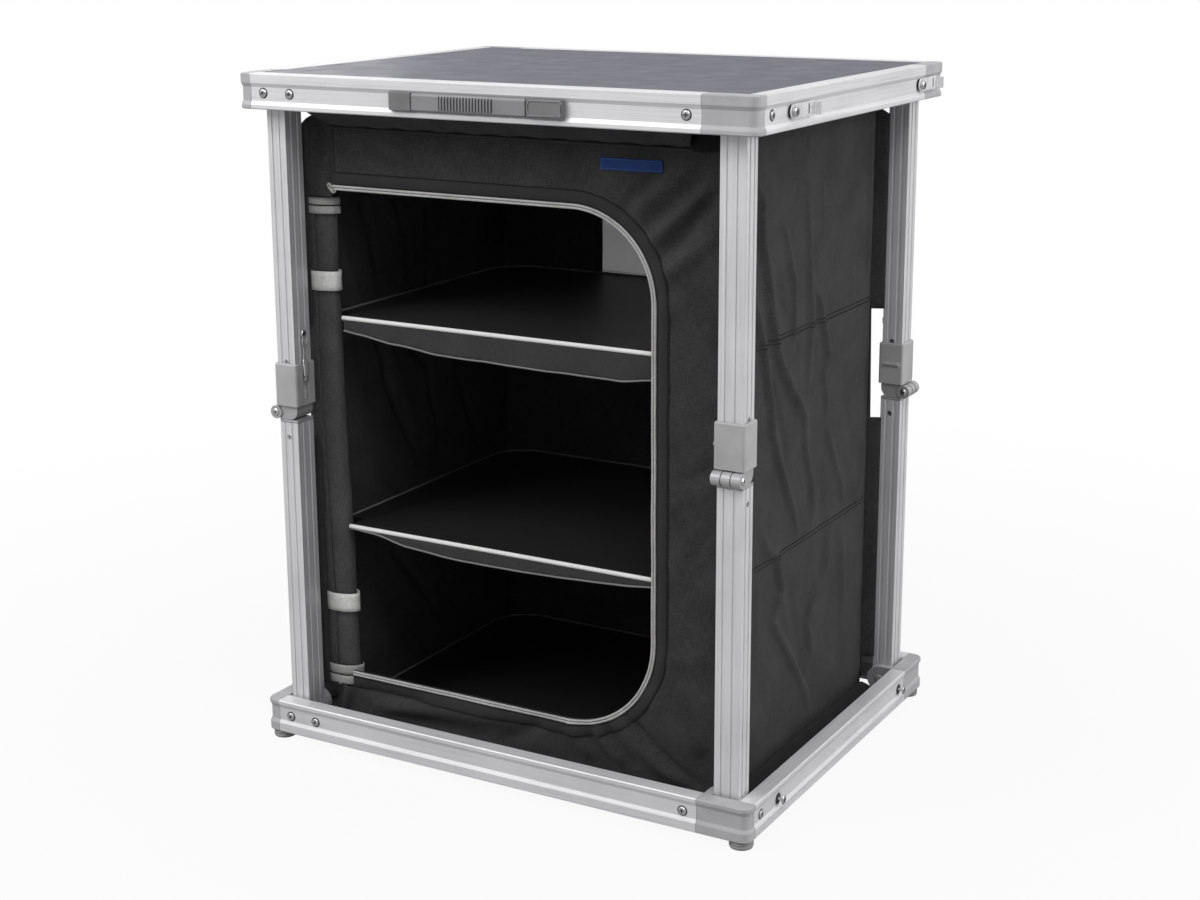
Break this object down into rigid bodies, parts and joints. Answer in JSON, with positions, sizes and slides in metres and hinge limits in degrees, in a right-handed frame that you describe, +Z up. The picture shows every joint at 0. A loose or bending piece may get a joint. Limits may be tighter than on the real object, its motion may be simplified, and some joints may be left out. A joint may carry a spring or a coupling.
{
  "type": "folding camp kitchen cupboard",
  "caption": "Folding camp kitchen cupboard: metal rail frames on knee legs, hard top, cloth body with shelves and a rolled door.",
  "frame": {"origin": "middle of the object's bounding box at the underside of the feet", "axes": "+Z up, +X to the right and -Y towards the viewer when facing the door opening"},
  "size_m": [0.6098, 0.4852, 0.742],
  "materials": {
    "aluminium": "satin drawn, shallow lengthwise grooves on the legs",
    "grey_plastic": "fine-grained moulded",
    "cast_hinge": "satin grey die casting",
    "steel": "bright zinc plate",
    "laminate": "blue-grey laminate on thin board, satin",
    "handle_plastic": "moulded, fine grain",
    "cloth": "coated plain weave, charcoal",
    "shelf_board": "cloth-covered board, near black"
  },
  "bodies": {
    "base_frame": {"bottom_rail_front": "aluminium", "bottom_rail_right": "aluminium", "bottom_rail_rear": "aluminium", "bottom_rail_left": "aluminium", "bottom_corner_front_right": "grey_plastic", "bottom_corner_rear_right": "grey_plastic", "bottom_corner_rear_left": "grey_plastic", "bottom_corner_front_left": "grey_plastic", "foot_front_right": "grey_plastic", "foot_rear_right": "grey_plastic", "foot_rear_left": "grey_plastic", "foot_front_left": "grey_plastic", "floor_board": "shelf_board", "cloth_walls": "cloth", "front_panel": "cloth", "door_roll": "cloth"},
    "top_frame": {"top_rail_front": "aluminium", "top_rail_right": "aluminium", "top_rail_rear": "aluminium", "top_rail_left": "aluminium", "top_corner_front_right": "grey_plastic", "top_corner_rear_right": "grey_plastic", "top_corner_rear_left": "grey_plastic", "top_corner_front_left": "grey_plastic", "table_panel": "laminate", "handle_block_left": "handle_plastic", "handle_block_right": "handle_plastic"},
    "handle_grip": {"handle_grip": "handle_plastic"},
    "lower_shelf": {"lower_shelf": "shelf_board"},
    "upper_shelf": {"upper_shelf": "shelf_board"},
    "storage_latch_front": {"storage_latch_front": "steel"},
    "storage_latch_rear": {"storage_latch_rear": "steel"},
    "lower_leg_front_right": {"lower_leg_front_right": "aluminium", "lower_hinge_front_right": "cast_hinge", "knee_pin_front_right": "steel"},
    "upper_leg_front_right": {"upper_leg_front_right": "aluminium", "upper_hinge_front_right": "cast_hinge"},
    "lock_collar_front_right": {"lock_collar_front_right": "grey_plastic"},
    "collar_catch_front_right": {"collar_catch_front_right": "steel"},
    "lower_leg_rear_right": {"lower_leg_rear_right": "aluminium", "lower_hinge_rear_right": "cast_hinge", "knee_pin_rear_right": "steel"},
    "upper_leg_rear_right": {"upper_leg_rear_right": "aluminium", "upper_hinge_rear_right": "cast_hinge"},
    "lock_collar_rear_right": {"lock_collar_rear_right": "grey_plastic"},
    "collar_catch_rear_right": {"collar_catch_rear_right": "steel"},
    "lower_leg_rear_left": {"lower_leg_rear_left": "aluminium", "lower_hinge_rear_left": "cast_hinge", "knee_pin_rear_left": "steel"},
    "upper_leg_rear_left": {"upper_leg_rear_left": "aluminium", "upper_hinge_rear_left": "cast_hinge"},
    "lock_collar_rear_left": {"lock_collar_rear_left": "grey_plastic"},
    "collar_catch_rear_left": {"collar_catch_rear_left": "steel"},
    "lower_leg_front_left": {"lower_leg_front_left": "aluminium", "lower_hinge_front_left": "cast_hinge", "knee_pin_front_left": "steel"},
    "upper_leg_front_left": {"upper_leg_front_left": "aluminium", "upper_hinge_front_left": "cast_hinge"},
    "lock_collar_front_left": {"lock_collar_front_left": "grey_plastic"},
    "collar_catch_front_left": {"collar_catch_front_left": "steel"}
  },
  "joints": [
    {"name": "leg_fold_front_right", "type": "hinge", "parent": "base_frame", "child": "lower_leg_front_right", "pos_m": [0.2604, -0.20475, 0.03045], "axis": [-1, 0, 0], "range_deg": [0, 90], "deforming": ["cloth_walls", "front_panel", "door_roll"]},
    {"name": "knee_front_right", "type": "hinge", "parent": "lower_leg_front_right", "child": "upper_leg_front_right", "pos_m": [0.2604, -0.22045, 0.3755], "axis": [1, 0, 0], "range_deg": [0, 180]},
    {"name": "collar_slide_front_right", "type": "slide", "parent": "upper_leg_front_right", "child": "lock_collar_front_right", "axis": [0, 0, 1], "range_m": [0, 0.018]},
    {"name": "catch_lift_front_right", "type": "hinge", "parent": "upper_leg_front_right", "child": "collar_catch_front_right", "pos_m": [0.2604, -0.19275, 0.4628], "axis": [1, 0, 0], "range_deg": [0, 2]},
    {"name": "leg_fold_rear_right", "type": "hinge", "parent": "base_frame", "child": "lower_leg_rear_right", "pos_m": [0.2624, 0.20785, 0.03045], "axis": [0, -1, 0], "range_deg": [0, 90]},
    {"name": "knee_rear_right", "type": "hinge", "parent": "lower_leg_rear_right", "child": "upper_leg_rear_right", "pos_m": [0.2781, 0.20785, 0.3755], "axis": [0, 1, 0], "range_deg": [0, 180]},
    {"name": "collar_slide_rear_right", "type": "slide", "parent": "upper_leg_rear_right", "child": "lock_collar_rear_right", "axis": [0, 0, 1], "range_m": [0, 0.018]},
    {"name": "catch_lift_rear_right", "type": "hinge", "parent": "upper_leg_rear_right", "child": "collar_catch_rear_right", "pos_m": [0.2504, 0.20785, 0.4628], "axis": [0, 1, 0], "range_deg": [0, 2]},
    {"name": "leg_fold_rear_left", "type": "hinge", "parent": "base_frame", "child": "lower_leg_rear_left", "pos_m": [-0.2702, 0.20985, 0.03045], "axis": [1, 0, 0], "range_deg": [0, 90]},
    {"name": "knee_rear_left", "type": "hinge", "parent": "lower_leg_rear_left", "child": "upper_leg_rear_left", "pos_m": [-0.2702, 0.22555, 0.3755], "axis": [-1, 0, 0], "range_deg": [0, 180]},
    {"name": "collar_slide_rear_left", "type": "slide", "parent": "upper_leg_rear_left", "child": "lock_collar_rear_left", "axis": [0, 0, 1], "range_m": [0, 0.018]},
    {"name": "catch_lift_rear_left", "type": "hinge", "parent": "upper_leg_rear_left", "child": "collar_catch_rear_left", "pos_m": [-0.2702, 0.19785, 0.4628], "axis": [-1, 0, 0], "range_deg": [0, 2]},
    {"name": "leg_fold_front_left", "type": "hinge", "parent": "base_frame", "child": "lower_leg_front_left", "pos_m": [-0.2722, -0.20275, 0.03045], "axis": [0, 1, 0], "range_deg": [0, 90]},
    {"name": "knee_front_left", "type": "hinge", "parent": "lower_leg_front_left", "child": "upper_leg_front_left", "pos_m": [-0.2879, -0.20275, 0.3755], "axis": [0, -1, 0], "range_deg": [0, 180]},
    {"name": "collar_slide_front_left", "type": "slide", "parent": "upper_leg_front_left", "child": "lock_collar_front_left", "axis": [0, 0, 1], "range_m": [0, 0.018]},
    {"name": "catch_lift_front_left", "type": "hinge", "parent": "upper_leg_front_left", "child": "collar_catch_front_left", "pos_m": [-0.2602, -0.20275, 0.4628], "axis": [0, -1, 0], "range_deg": [0, 2]},
    {"name": "top_pivot", "type": "hinge", "parent": "upper_leg_front_right", "child": "top_frame", "pos_m": [0.2604, -0.20475, 0.72055], "axis": [-1, 0, 0], "range_deg": [0, 90]},
    {"name": "lower_shelf_drop", "type": "slide", "parent": "base_frame", "child": "lower_shelf", "axis": [0, 0, -1], "range_m": [0, 0.2074]},
    {"name": "upper_shelf_drop", "type": "slide", "parent": "base_frame", "child": "upper_shelf", "axis": [0, 0, -1], "range_m": [0, 0.4242]},
    {"name": "latch_turn_front", "type": "hinge", "parent": "top_frame", "child": "storage_latch_front", "pos_m": [0.2951, -0.16345, 0.722], "axis": [-1, 0, 0], "range_deg": [0, 90]},
    {"name": "latch_turn_rear", "type": "hinge", "parent": "top_frame", "child": "storage_latch_rear", "pos_m": [0.2951, 0.16855, 0.722], "axis": [-1, 0, 0], "range_deg": [0, 90]},
    {"name": "handle_swing", "type": "hinge", "parent": "top_frame", "child": "handle_grip", "pos_m": [-0.0049, -0.2392, 0.72725], "axis": [-1, 0, 0], "range_deg": [0, 90]}
  ],
  "couplings": [
    {"joint": "knee_front_right", "follows": "leg_fold_front_right", "ratio": 2},
    {"joint": "leg_fold_rear_right", "follows": "leg_fold_front_right", "ratio": 1},
    {"joint": "knee_rear_right", "follows": "leg_fold_front_right", "ratio": 2},
    {"joint": "leg_fold_rear_left", "follows": "leg_fold_front_right", "ratio": 1},
    {"joint": "knee_rear_left", "follows": "leg_fold_front_right", "ratio": 2},
    {"joint": "leg_fold_front_left", "follows": "leg_fold_front_right", "ratio": 1},
    {"joint": "knee_front_left", "follows": "leg_fold_front_right", "ratio": 2},
    {"joint": "top_pivot", "follows": "leg_fold_front_right", "ratio": 1},
    {"joint": "lower_shelf_drop", "follows": "leg_fold_front_right", "m_per_rad": 0.132},
    {"joint": "upper_shelf_drop", "follows": "leg_fold_front_right", "m_per_rad": 0.27}
  ]
}
